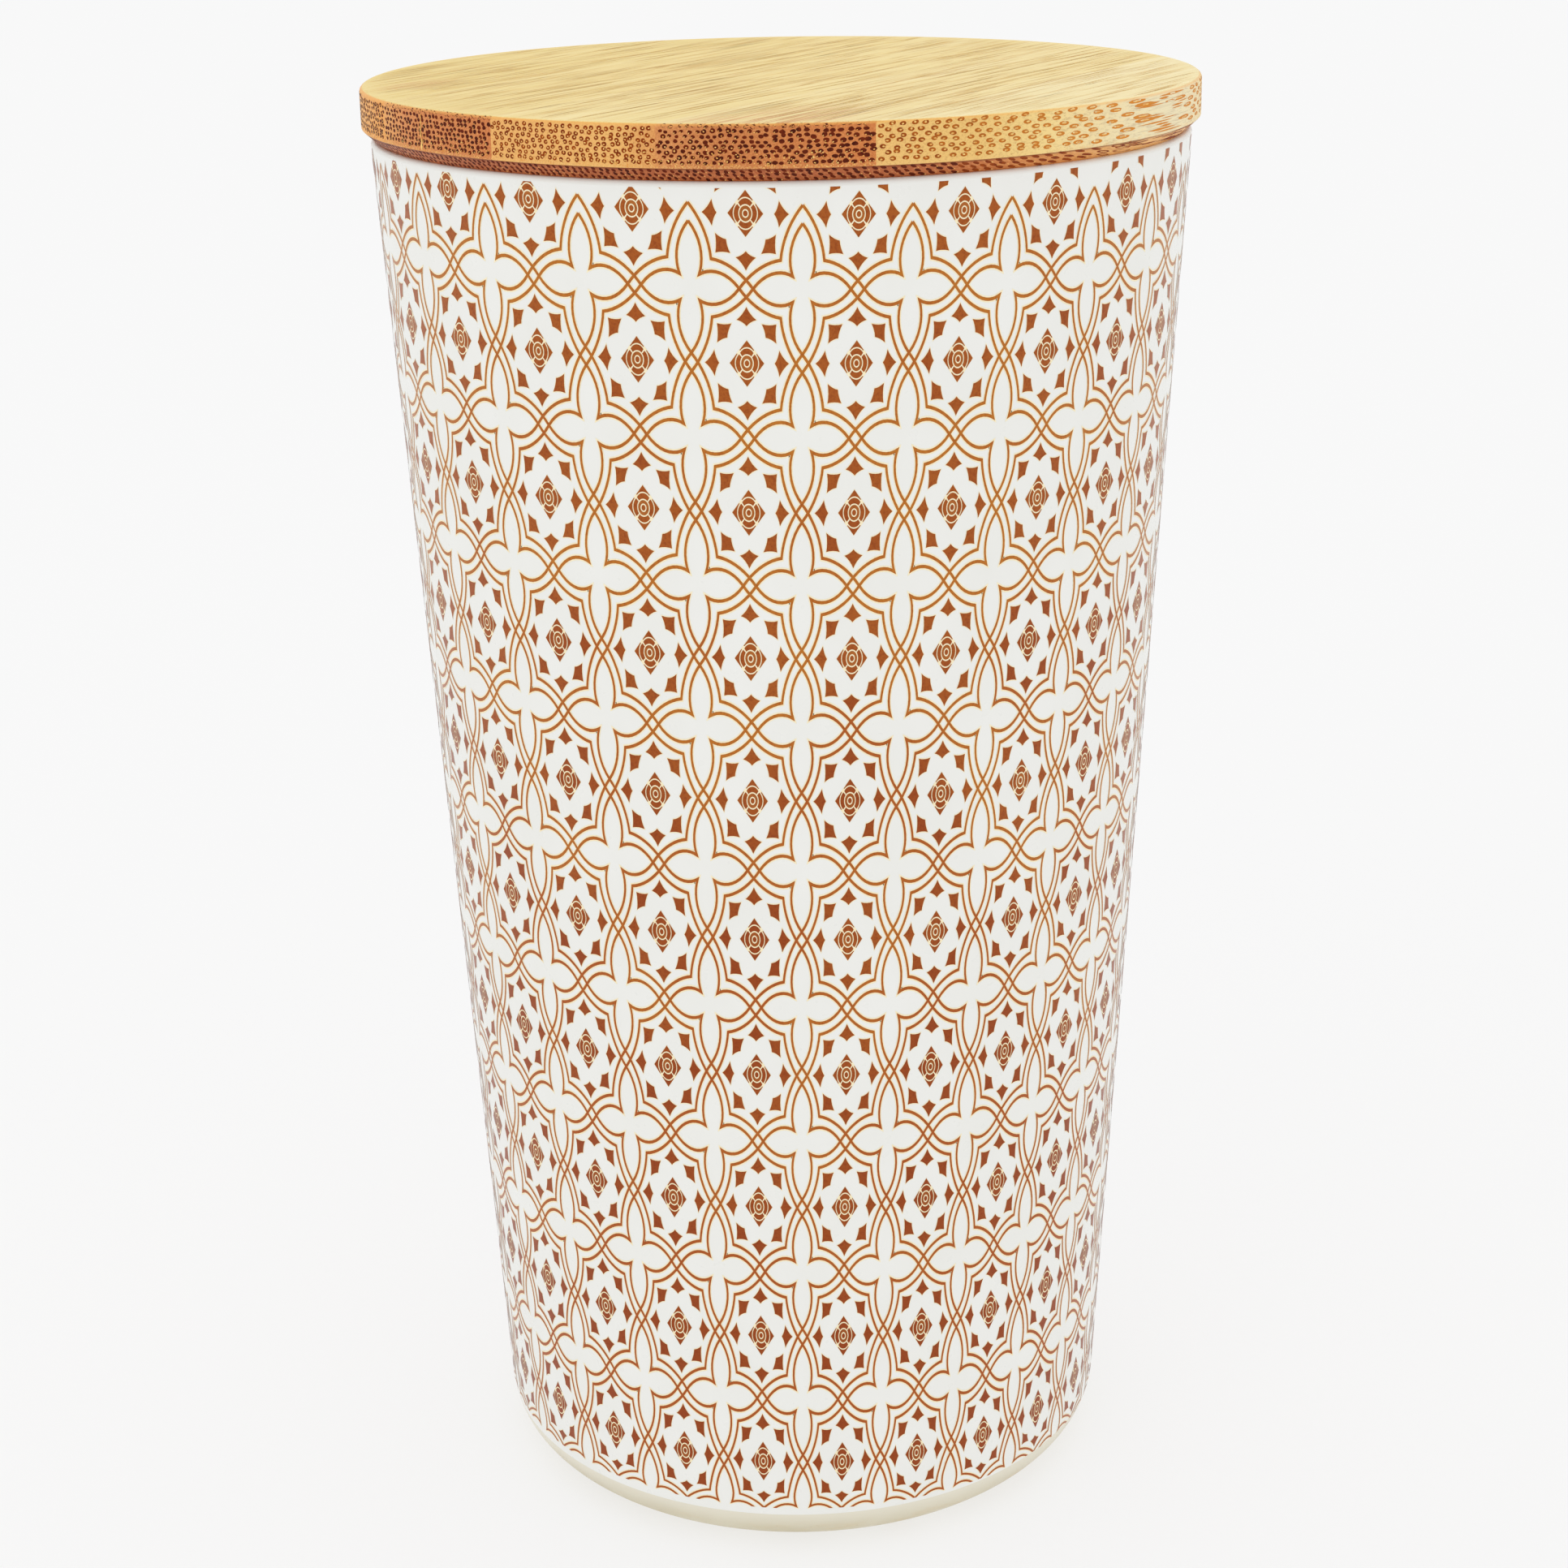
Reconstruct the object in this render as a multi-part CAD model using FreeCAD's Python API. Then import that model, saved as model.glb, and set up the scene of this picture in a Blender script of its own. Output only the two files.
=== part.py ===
import FreeCAD, Part
import math
import os

# Tapered storage canister for coffee: a moulded jar with a printed foil pressed into
# its wall, and a round bamboo lid with a plug that carries a silicone seal.
# Millimetres. The origin is the centre of the face that the jar stands on, +Z is up,
# and the front is towards -Y. Every piece but the lid's staves is turned about Z.

# ---- driving sizes: the jar ----
jar_height = 179.4       # standing face to rim
rim_radius = 51.0        # outer wall carried up to the rim's height
base_radius = 40.75      # outer wall carried down to the standing face
wall = 3.0               # square to the wall
floor_thickness = 3.6
heel_radius = 7.5        # outer corner between the wall and the standing face
inner_heel_radius = 5.0
rim_round = 0.6          # both edges of the rim
foot_width = 2.8         # flat ring that the jar stands on
foot_recess = 0.9        # how far the underside is raised inside that ring

# ---- driving sizes: the printed foil ----
foil_thickness = 0.2     # it lies flush in the wall
foil_below_rim = 0.6     # bare wall over the foil's top edge
foil_bottom = 6.0        # height of its lower edge, on the heel

# ---- driving sizes: the lid ----
lid_overhang = 1.0       # how far the lid stands out past the rim
upper_ply = 4.85         # the top board
flange = 1.55            # the lower board's edge, between the top board and the rim
flange_chamfer = 1.7     # how far that edge draws in on its way down
arris_round = 0.6        # top edge of the lid
plug_depth = 6.0         # how far the lower board reaches into the jar
plug_clearance = 0.7     # between the plug's foot and the jar's bore
plug_round = 0.8
strips = 5               # each board is glued up from strips side by side
stave_width = 20.9       # of the strips in the middle; the outer two run to the edge
upper_shift = 3.65       # the upper board's glue joints, moved to the right of the axis
lower_shift = -6.8       # the lower board's, so that no two glue joints line up
grain_angle = -31.0      # degrees that the strips are turned about Z

# ---- driving sizes: the seal ----
groove_depth = 2.4
groove_height = 3.2
seal_clearance = 0.3     # round the seal: to the groove's floor and to the bore
seal_side_clearance = 0.1
rib_height = 0.9         # two sealing ribs run round the ring
rib_stand = 0.8          # how far they stand out from it

# ---- worked out from those ----
wall_slope = (rim_radius - base_radius) / jar_height
wall_lean = math.atan(wall_slope)
bore_inset = wall / math.cos(wall_lean)
lid_radius = rim_radius + lid_overhang
plug_foot = jar_height - plug_depth
lid_seam = jar_height + flange
lid_top = lid_seam + upper_ply


def outer_radius(z):
    """Radius of the jar's outer wall at a height, its rounded ends left out."""
    return base_radius + wall_slope * z


def bore_radius(z):
    """Radius of the jar's inner wall at a height."""
    return outer_radius(z) - bore_inset


def vector(r, z):
    return FreeCAD.Vector(r, 0, z)


def rounded_wire(corners):
    """A closed wire in the r-z plane. Each corner is (r, z) or (r, z, fillet radius)."""
    starts, arcs, ends = [], [], []
    count = len(corners)
    for i, corner in enumerate(corners):
        here = vector(corner[0], corner[1])
        fillet = corner[2] if len(corner) > 2 else 0
        if not fillet:
            starts.append(here)
            arcs.append(None)
            ends.append(here)
            continue
        before = (vector(*corners[i - 1][:2]) - here).normalize()
        after = (vector(*corners[(i + 1) % count][:2]) - here).normalize()
        half = before.getAngle(after) / 2
        reach = fillet / math.tan(half)
        inward = (before + after).normalize()
        middle = here + inward * (fillet / math.sin(half) - fillet)
        starts.append(here + before * reach)
        arcs.append(middle)
        ends.append(here + after * reach)
    edges = []
    for i in range(count):
        if arcs[i]:
            edges.append(Part.Arc(starts[i], arcs[i], ends[i]).toShape())
        following = starts[(i + 1) % count]
        if not ends[i].isEqual(following, 1e-7):
            edges.append(Part.LineSegment(ends[i], following).toShape())
    return Part.Wire(edges)


def turned(corners):
    """The solid that a closed outline sweeps when it is turned once about Z."""
    face = Part.Face(rounded_wire(corners))
    solid = face.revolve(FreeCAD.Vector(0, 0, 0), FreeCAD.Vector(0, 0, 1), 360)
    if solid.Volume < 0:
        solid.reverse()
    return solid


def band(low, high):
    """A slab between two heights, wider than the canister."""
    return Part.makeCylinder(2 * lid_radius, high - low, FreeCAD.Vector(0, 0, low))


def save(node, shape):
    """Writes a node's one solid."""
    solids = shape.Solids
    if len(solids) != 1 or not solids[0].isValid():
        raise ValueError(node + " is not one valid solid")
    solids[0].exportStep(os.path.join("parts", node + ".step"))
    print(node, round(solids[0].Volume / 1000, 2), "cm3")


# ---- jar ----

def jar_envelope(inset):
    """The jar's outer form as a filled solid, drawn in by an inset square to its face."""
    sideways = inset / math.cos(wall_lean)
    top = jar_height + rim_round
    return turned([
        (0, inset),
        (outer_radius(inset) - sideways, inset, heel_radius - inset),
        (outer_radius(top) - sideways, top),
        (0, top),
    ])


def foil_sleeve():
    """The skin of the jar's outer form, foil_thickness deep, between the foil's edges."""
    skin = jar_envelope(0).cut(jar_envelope(foil_thickness))
    return skin.common(band(foil_bottom, jar_height - foil_below_rim))


def jar_body():
    heel_reach = heel_radius / math.tan((math.pi / 2 + wall_lean) / 2)
    foot_inner = base_radius - heel_reach - foot_width
    floor_top = foot_recess + floor_thickness
    shell = turned([
        (0, foot_recess),
        (foot_inner - foot_recess, foot_recess, foot_recess / 2),
        (foot_inner, 0),
        (base_radius, 0, heel_radius),
        (rim_radius, jar_height, rim_round),
        (bore_radius(jar_height), jar_height, rim_round),
        (bore_radius(floor_top), floor_top, inner_heel_radius),
        (0, floor_top),
    ])
    return shell.cut(foil_sleeve())


# ---- lid ----

plug_radius = bore_radius(plug_foot) - plug_clearance
groove_radius = plug_radius - groove_depth
groove_low = plug_foot + (plug_depth - groove_height) / 2
groove_high = groove_low + groove_height


def upper_board():
    return turned([
        (0, lid_seam),
        (lid_radius, lid_seam),
        (lid_radius, lid_top, arris_round),
        (0, lid_top),
    ])


def lower_board():
    """Flange, plug and the seal's groove, turned from one board."""
    return turned([
        (0, plug_foot),
        (plug_radius, plug_foot, plug_round),
        (plug_radius, groove_low),
        (groove_radius, groove_low),
        (groove_radius, groove_high),
        (plug_radius, groove_high),
        (plug_radius, jar_height),
        (lid_radius - flange_chamfer, jar_height),
        (lid_radius, lid_seam),
        (0, lid_seam),
    ])


def seal_ring():
    """A silicone ring in the plug's groove, with two ribs towards the jar's bore."""
    low = groove_low + seal_side_clearance
    high = groove_high - seal_side_clearance
    inner = groove_radius + seal_clearance
    rib = bore_radius(low) - seal_clearance
    valley = rib - rib_stand
    soft = rib_height / 3
    return turned([
        (inner, low),
        (rib, low, soft),
        (rib, low + rib_height, soft),
        (valley, low + rib_height),
        (valley, high - rib_height),
        (rib, high - rib_height, soft),
        (rib, high, soft),
        (inner, high),
    ])


def save_staves(board, name, shift):
    """Saws a board along its glue joints, one stave width apart, and writes the strips."""
    beyond = 2 * lid_radius
    middle = (strips - 2) / 2
    joints = [shift + (i - middle) * stave_width for i in range(strips - 1)]
    edges = [-beyond] + joints + [beyond]
    for i in range(strips):
        corner = FreeCAD.Vector(edges[i], -beyond, 0)
        strip = Part.makeBox(edges[i + 1] - edges[i], 2 * beyond, 2 * lid_top, corner)
        strip.rotate(FreeCAD.Vector(0, 0, 0), FreeCAD.Vector(0, 0, 1), grain_angle)
        save(name + str(i + 1), board.common(strip))


os.makedirs("parts", exist_ok=True)
save("jar_body", jar_body())
save("printed_foil", foil_sleeve())
save("seal_ring", seal_ring())
save_staves(upper_board(), "upper_stave_", upper_shift)
save_staves(lower_board(), "lower_stave_", lower_shift)
print("lid top at", lid_top, "mm")
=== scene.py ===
"""The looks of a tapered coffee canister: printed foil, moulded jar and a bamboo lid.

Lengths are millimetres until a mesh is made. Heights are above the standing face, the
front is towards -Y, and angles run from the front towards +X.
"""
import math
import random

import bmesh
import bpy
import numpy as np
from mathutils import Matrix, Vector


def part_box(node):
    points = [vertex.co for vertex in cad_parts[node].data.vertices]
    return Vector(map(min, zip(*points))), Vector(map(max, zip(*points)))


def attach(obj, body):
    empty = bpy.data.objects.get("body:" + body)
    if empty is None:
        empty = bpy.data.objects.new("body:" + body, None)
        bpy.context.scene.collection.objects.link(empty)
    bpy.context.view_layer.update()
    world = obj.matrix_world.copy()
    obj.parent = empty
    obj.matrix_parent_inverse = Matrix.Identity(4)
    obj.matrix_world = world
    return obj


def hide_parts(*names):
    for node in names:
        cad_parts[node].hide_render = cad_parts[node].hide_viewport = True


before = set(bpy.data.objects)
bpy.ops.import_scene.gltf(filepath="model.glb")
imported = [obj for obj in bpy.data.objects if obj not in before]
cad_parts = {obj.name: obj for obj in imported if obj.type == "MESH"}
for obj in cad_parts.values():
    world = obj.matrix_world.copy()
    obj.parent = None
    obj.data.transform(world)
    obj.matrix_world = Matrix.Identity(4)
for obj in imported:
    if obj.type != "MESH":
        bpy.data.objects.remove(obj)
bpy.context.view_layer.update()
chance = random.Random(11)

MM = 1000.0
TURN = 2 * math.pi


def node_box(name):
    low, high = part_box(name)
    return low * MM, high * MM


# ---- sizes: heights and the lid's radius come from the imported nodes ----
strips = 5                # side by side in each of the lid's two boards
upper_boxes = [node_box("upper_stave_" + str(i + 1)) for i in range(strips)]
rim_height = node_box("jar_body")[1].z
foil_bottom, foil_top = [corner.z for corner in node_box("printed_foil")]
seal_bottom, seal_top = [corner.z for corner in node_box("seal_ring")]
lid_seam, lid_top = [corner.z for corner in upper_boxes[0]]
plug_foot = node_box("lower_stave_3")[0].z
lid_radius = max(high.x for low, high in upper_boxes)

rim_radius = 51.0
base_radius = 40.75
wall = 3.0
heel_radius = 7.5
inner_heel_radius = 5.0
rim_round = 0.6
foot_width = 2.8
foot_recess = 0.9
floor_top = 4.5
foil_thickness = 0.2
flange_chamfer = 1.7
arris_round = 0.6
plug_clearance = 0.7
plug_round = 0.8
groove_depth = 2.4
groove_height = 3.2
seal_clearance = 0.3
rib_height = 0.9
rib_stand = 0.8
stave_width = 20.9
grain_angle = math.radians(-31)
upper_first_joint = -27.7  # each board's first glue joint, across the grain
lower_first_joint = -38.15
ring_segments = 360       # of every turned mesh

wall_slope = (rim_radius - base_radius) / rim_height
wall_lean = math.atan(wall_slope)
bore_inset = wall / math.cos(wall_lean)
heel_top = heel_radius * (1 - math.sin(wall_lean))
heel_centre = base_radius + wall_slope * heel_radius - heel_radius / math.cos(wall_lean)
across = np.array([math.cos(grain_angle), math.sin(grain_angle)])
along = np.array([-math.sin(grain_angle), math.cos(grain_angle)])


def bore_radius(z):
    return base_radius + wall_slope * z - bore_inset


plug_radius = bore_radius(plug_foot) - plug_clearance
groove_low = plug_foot + (rim_height - plug_foot - groove_height) / 2
groove_high = groove_low + groove_height
groove_radius = plug_radius - groove_depth


# ---- shader nodes ----

def srgb(red, green, blue):
    """A colour as a shader takes it, from the usual 0 to 255 values."""
    return tuple(((v / 255 + 0.055) / 1.055) ** 2.4 for v in (red, green, blue)) + (1.0,)


class Finish:
    """A Principled material with short calls for the nodes that it needs."""

    def __init__(self, name, roughness, specular=0.5, sheen=0.0):
        self.material = bpy.data.materials.new(name)
        self.material.use_nodes = True
        self.tree = self.material.node_tree
        self.surface = self.tree.nodes["Principled BSDF"]
        self.surface.inputs["Roughness"].default_value = roughness
        self.surface.inputs["Specular IOR Level"].default_value = specular
        self.surface.inputs["Sheen Weight"].default_value = sheen
        self.surface.inputs["Sheen Roughness"].default_value = 0.3
        self.place = self.add("TexCoord").outputs["Object"]

    def add(self, kind, inputs=(), **settings):
        node = self.tree.nodes.new("ShaderNode" + kind)
        for name, value in settings.items():
            setattr(node, name, value)
        for socket, value in dict(inputs).items():
            if isinstance(value, bpy.types.NodeSocket):
                self.tree.links.new(value, node.inputs[socket])
            else:
                node.inputs[socket].default_value = value
        return node

    def turned(self, angle):
        """Object coordinates turned about Z."""
        node = self.add("Mapping", {"Vector": self.place, "Rotation": (0, 0, angle)})
        return node.outputs["Vector"]

    def noise(self, size, detail=2.0, roughness=0.5, seed=0.0, place=None):
        """Noise from 0 to 1 whose features have a size along each axis."""
        scale = tuple(MM / s for s in size)
        mapping = self.add("Mapping", {
            "Vector": place or self.place, "Scale": scale,
            "Location": (seed, seed * 1.7, 3 * seed)})
        node = self.add("TexNoise", {
            "Vector": mapping.outputs["Vector"], "Scale": 1.0,
            "Detail": detail, "Roughness": roughness})
        return node.outputs["Fac"]

    def span(self, value, low, high, start=0.0, end=1.0):
        """Maps low..high to start..end, smoothly, and holds it outside them."""
        node = self.add("MapRange", {
            "Value": value, "From Min": low, "From Max": high,
            "To Min": start, "To Max": end}, interpolation_type="SMOOTHSTEP")
        return node.outputs["Result"]

    def span_linear(self, value, low, high):
        """Maps low..high to 0..1 in a straight line, and holds it outside them."""
        node = self.add("MapRange", {"Value": value, "From Min": low, "From Max": high})
        return node.outputs["Result"]

    def sum(self, operation, first, second=0.0):
        return self.add("Math", {0: first, 1: second}, operation=operation).outputs[0]

    def ramp(self, value, stops):
        node = self.add("ValToRGB", {"Fac": value})
        elements = node.color_ramp.elements
        while len(elements) < len(stops):
            elements.new(0.5)
        for element, (position, colour) in zip(elements, stops):
            element.position = position
            element.color = colour
        return node.outputs["Color"]

    def blend(self, share, first, second, mode="MIX"):
        node = self.add("Mix", {0: share, 6: first, 7: second}, data_type="RGBA",
                        blend_type=mode)
        return node.outputs[2]

    def parts(self, vector):
        return self.add("SeparateXYZ", {"Vector": vector}).outputs

    def colour(self, value):
        self.tree.links.new(value, self.surface.inputs["Base Color"])

    def gloss(self, value):
        self.tree.links.new(value, self.surface.inputs["Roughness"])

    def bump(self, height, depth, strength=1.0):
        node = self.add("Bump", {"Height": height, "Distance": depth / MM,
                                 "Strength": strength})
        self.tree.links.new(node.outputs["Normal"], self.surface.inputs["Normal"])


# ---- making pieces ----

def piece(name, mesh, finish, body, slot, *nodes):
    """Puts a mesh into the scene as a piece that rides on a body."""
    made = bpy.data.objects.new(name, mesh)
    bpy.context.scene.collection.objects.link(made)
    mesh.materials.append(finish.material)
    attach(made, body)
    if nodes:
        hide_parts(*nodes)
    return made


def mesh_of(name, points, faces, sharp=30.0):
    mesh = bpy.data.meshes.new(name)
    mesh.from_pydata([tuple(p) for p in np.asarray(points) / MM], [], faces)
    mesh.validate()
    mesh.shade_smooth()
    mesh.set_sharp_from_angle(angle=math.radians(sharp))
    return mesh


edge_support = 0.06       # an extra ring this far off each rounded edge keeps its shading


def rounded(corners):
    """An outline of (r, z) points. A third number rounds a corner, a fourth sets its steps."""
    outline = []
    count = len(corners)
    for i, corner in enumerate(corners):
        here = Vector(corner[:2])
        if len(corner) < 3:
            outline.append(tuple(here))
            continue
        before = (Vector(corners[i - 1][:2]) - here).normalized()
        after = (Vector(corners[(i + 1) % count][:2]) - here).normalized()
        radius, steps = corner[2], corner[3]
        half = before.angle(after) / 2
        centre = here + (before + after).normalized() * (radius / math.sin(half))
        start = here + before * (radius / math.tan(half))
        end = here + after * (radius / math.tan(half))
        first, last = start - centre, end - centre
        turn = first.angle_signed(last)
        outline.append(tuple(start + before * edge_support))
        for step in range(steps + 1):
            spin = Matrix.Rotation(-turn * step / steps, 2)
            outline.append(tuple(centre + spin @ first))
        outline.append(tuple(end + after * edge_support))
    return outline


def lathe(outline):
    """Points and faces of a closed outline turned about Z. Points on the axis become poles."""
    points, rings, faces = [], [], []
    for r, z in outline:
        if r < 1e-6:
            rings.append([len(points)])
            points.append((0, 0, z))
            continue
        rings.append(list(range(len(points), len(points) + ring_segments)))
        for k in range(ring_segments):
            angle = TURN * k / ring_segments
            points.append((r * math.sin(angle), -r * math.cos(angle), z))
    for low, high in zip(rings, rings[1:] + rings[:1]):
        for k in range(ring_segments):
            n = (k + 1) % ring_segments
            if len(low) == 1 and len(high) == 1:
                break
            if len(low) == 1:
                faces.append((low[0], high[n], high[k]))
            elif len(high) == 1:
                faces.append((low[k], low[n], high[0]))
            else:
                faces.append((low[k], low[n], high[n], high[k]))
    return points, faces


def cut_away(shape, place, outward):
    """Drops what lies outside a plane from a bmesh. Gives the edges of the cut."""
    everything = shape.verts[:] + shape.edges[:] + shape.faces[:]
    made = bmesh.ops.bisect_plane(shape, geom=everything, plane_co=place, plane_no=outward,
                                  clear_outer=True)
    return [e for e in made["geom_cut"] if isinstance(e, bmesh.types.BMEdge)]


# ---- the jar's wall ----

def wall_outline(height, inset=0.0):
    """Radius, height and outward tilt of the outside, at a height measured along the wall.

    Below the heel's start the measure goes on round the heel's arc.
    """
    height = np.asarray(height, float)
    tilt = wall_lean + np.maximum(0, heel_top - height) / math.cos(wall_lean) / heel_radius
    straight = height >= heel_top
    r = np.where(straight, base_radius + wall_slope * height,
                 heel_centre + heel_radius * np.cos(tilt))
    z = np.where(straight, height, heel_radius - heel_radius * np.sin(tilt))
    return r - inset * np.cos(tilt), z + inset * np.sin(tilt), tilt


def wall_point(height, inset=0.0):
    """One (r, z) point of the outside, or of a layer set in under it."""
    r, z, tilt = wall_outline(height, inset)
    return float(r), float(z)


def on_wall(angle, height, lift):
    """Points over the jar's outside, at an angle from the front and a height on the wall."""
    r, z, tilt = wall_outline(height, -lift)
    return np.stack([r * np.sin(angle), -r * np.cos(angle), z], -1)


def wall_normals(points):
    """Outward directions of the jar's outside at points on it."""
    angle = np.arctan2(points[:, 0], -points[:, 1])
    sine = np.clip((heel_radius - points[:, 2]) / heel_radius, math.sin(wall_lean), 1)
    level = np.sqrt(1 - sine ** 2)
    return np.stack([level * np.sin(angle), -level * np.cos(angle), -sine], -1)


def wall_height_at(z):
    """The height measured along the wall of a point on the heel."""
    tilt = math.asin((heel_radius - z) / heel_radius)
    return heel_top - (tilt - wall_lean) * heel_radius * math.cos(wall_lean)


foil_start = wall_height_at(foil_bottom)
heel_end = heel_top - (math.pi / 2 - wall_lean) * heel_radius * math.cos(wall_lean)
foil_rows = list(np.linspace(foil_start, heel_top, 8))
foil_rows += list(np.linspace(heel_top, foil_top, 24))[1:]
hidden_share = 0.9        # how far the foil's inner face reaches towards the jar's recess


def make_jar(finish):
    foot_inner = heel_centre - foot_width
    outside = [wall_point(height) for height in np.linspace(heel_end, foil_start, 16)]
    outside += [wall_point(height, foil_thickness) for height in foil_rows]
    outside.append(wall_point(foil_top))
    under = rounded([(0, foot_recess), (foot_inner - foot_recess, foot_recess, foot_recess / 2, 5),
                     (foot_inner, 0), (foot_inner + 1, 0)])[:-1]
    run_up = 5.0
    over = rounded([(rim_radius - wall_slope * run_up, rim_height - run_up),
                    (rim_radius, rim_height, rim_round, 8),
                    (bore_radius(rim_height), rim_height, rim_round, 8),
                    (bore_radius(floor_top), floor_top, inner_heel_radius, 16),
                    (0, floor_top)])[1:]
    over = [p for p in over if p[1] > foil_top + 0.01 or p[0] < rim_radius - 1]
    points, faces = lathe(under + outside + over)
    piece("jar_shell", mesh_of("jar_shell", points, faces), finish, "jar", "jar", "jar_body")


def make_foil(finish):
    outer = [wall_point(height) for height in foil_rows]
    inner = [wall_point(height, foil_thickness * hidden_share) for height in foil_rows]
    points, faces = lathe(outer + inner[::-1])
    piece("foil_skin", mesh_of("foil_skin", points, faces), finish, "jar", "foil", "printed_foil")


# ---- the print: a lattice of crosses and medallions ----

columns = 25
rows = 10
top_row = 176.29          # height of the first row of medallions
row_pitch = 17.01
pitch_growth = 0.1122     # each row is a little taller than the one above it
print_tilt = 1.07         # the foil was wrapped slightly askew
print_sag = 0.575         # and sits lower at the sides than at the front and back
print_start = -6.75       # degrees from the front to the first column
print_shear = 0.297       # degrees that each row is shifted against the one above it
shear_row = 4.5           # the row that isn't shifted
print_drift = 0.835       # degrees by which the columns' spacing wanders
drift_start = 5.44        # degrees, where that wandering begins
heel_shrink_from = 10.0
heel_shrink = 0.7         # the print is drawn together round the heel
first_row_wave = 0.45     # the first row wanders up and down a little
wave_start = 20.0         # degrees, where that wave begins
wave_limit = 1.3          # how much of it the row above may take, against the first row
print_bottom_row = 9.44   # the print ends on this line of the lattice
edge_trim = 0.05          # the print stops this far under the foil's top edge
cream_lift = 0.012        # off the foil
ink_lift = 0.024
line_half_width = 0.0116  # in columns of the lattice
cream_half_width = 0.0215


def lattice(u, v):
    """Angle and wall height of a point of the lattice: columns to the right, rows downwards."""
    pitch = TURN / columns
    drift = math.radians(print_drift) * np.cos(3 * (pitch * u + math.radians(drift_start)))
    shear = math.radians(print_shear) * (v - shear_row)
    angle = pitch * u + math.radians(print_start) + drift - shear
    height = top_row - row_pitch * v - pitch_growth * v * v
    height = height - print_tilt * np.sin(angle) + print_sag * (np.cos(2 * angle) - 1)
    wave = np.cos(3 * angle - math.radians(wave_start)) * np.clip(1 - v, 0, wave_limit)
    height = height - first_row_wave * wave
    drawn = heel_shrink_from - (heel_shrink_from - height) * heel_shrink
    return angle, np.where(height < heel_shrink_from, drawn, height)


def bezier(points, steps):
    t = np.linspace(0, 1, steps + 1)[:, None]
    a, b, c, d = [np.array(p) for p in points]
    return a * (1 - t) ** 3 + 3 * b * t * (1 - t) ** 2 + 3 * c * t * t * (1 - t) + d * t ** 3


class Motif:
    """Flat points and faces, in cells of the lattice, x to the right and y up."""

    def __init__(self):
        self.points = []
        self.faces = []

    def band(self, first, second):
        """A strip of faces between two rows of points."""
        start = len(self.points)
        count = len(first)
        self.points += [tuple(p) for p in first] + [tuple(p) for p in second]
        for i in range(count - 1):
            self.face(start + i, start + i + 1, start + count + i + 1, start + count + i)

    def fan(self, centre, edge):
        """Faces from a centre to a closed row of points."""
        start = len(self.points)
        self.points += [tuple(centre)] + [tuple(p) for p in edge]
        count = len(edge)
        for i in range(count):
            self.face(start, start + 1 + i, start + 1 + (i + 1) % count)

    def face(self, *corners):
        ring = [self.points[c] for c in corners]
        area = sum(ring[i - 1][0] * ring[i][1] - ring[i][0] * ring[i - 1][1]
                   for i in range(len(ring)))
        self.faces.append(corners if area > 0 else corners[::-1])


def turns(points, mirrored=True):
    """The copies of a row of points under the square's turns, and its mirror images."""
    points = np.asarray(points)
    copies = []
    for k in range(4):
        copies.append(points)
        if mirrored:
            copies.append(points * [-1, 1])
        points = points[:, ::-1] * [-1, 1]
    return copies


def sagging(corners, sag, steps):
    """A closed outline whose edges bow inwards between its corners."""
    outline = []
    corners = [np.array(c) for c in corners]
    middle = sum(corners) / len(corners)
    for here, following in zip(corners, corners[1:] + corners[:1]):
        inward = middle - (here + following) / 2
        inward = inward / np.linalg.norm(inward)
        for t in np.arange(steps) / steps:
            outline.append(here + (following - here) * t + inward * sag * 4 * t * (1 - t))
    return middle, outline


link_steps = 9
crossing = 0.439          # from a cross's middle to where two curves cross


def link_line():
    """The curve from a cross's notch, over the crossing, to the next cross's outer corner."""
    near = bezier([(0.087, 0.087), (0.18, 0.130), (0.322, 0.120), (crossing, 0.0)], link_steps)
    far = bezier([(crossing, 0.0), (0.542, -0.109), (0.675, -0.179), (0.806, -0.194)],
                 link_steps)
    return np.concatenate([near, far[1:]])


def line_motif(half_width, row="middle"):
    """The eight curves round one cross, mitred where two of them meet.

    The print's top edge has no curves over the first crossings: the first row of crosses
    stops its upward curves there, and the row above it has only their lower halves.
    """
    motif = Motif()
    line = link_line()
    tangent = np.gradient(line, axis=0)
    normal = np.stack([-tangent[:, 1], tangent[:, 0]], -1)
    normal /= np.linalg.norm(normal, axis=1)[:, None]
    diagonal = np.array([1.0, 1.0]) / math.sqrt(2)
    for end in (0, -1):
        normal[end] = diagonal / (normal[end] @ diagonal)
    pairs = zip(turns(line), turns(line + normal * half_width), turns(line - normal * half_width))
    for middle, left, right in pairs:
        upward = middle[link_steps][1] > crossing / 2
        downward = middle[link_steps][1] < -crossing / 2
        start, stop = 0, len(line)
        if row == "first" and upward:
            stop = link_steps + 1
        if row == "above":
            if not downward:
                continue
            start = link_steps
        motif.band(left[start:stop], right[start:stop])
    return motif


# one medallion, in columns of the lattice
star = [(0, 0.379), (0.088, 0.292), (0, 0.250), (-0.088, 0.292)]
square = [(0.266, 0.264), (0.136, 0.265), (0.170, 0.174), (0.266, 0.135)]
lobe_centre = 0.0262      # the four lobes are arcs, their centres this far out
lobe_radius = 0.0745
lobe_gap = 0.009          # bare line between a lobe and the diamond's corner
lobe_foot = 0.062
core_radius = 0.02
ring_inner = 0.0295
ring_outer = 0.0525
diamond = 0.155           # half the medallion's width, corner to corner
corner_half_width = 0.0665


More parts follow.
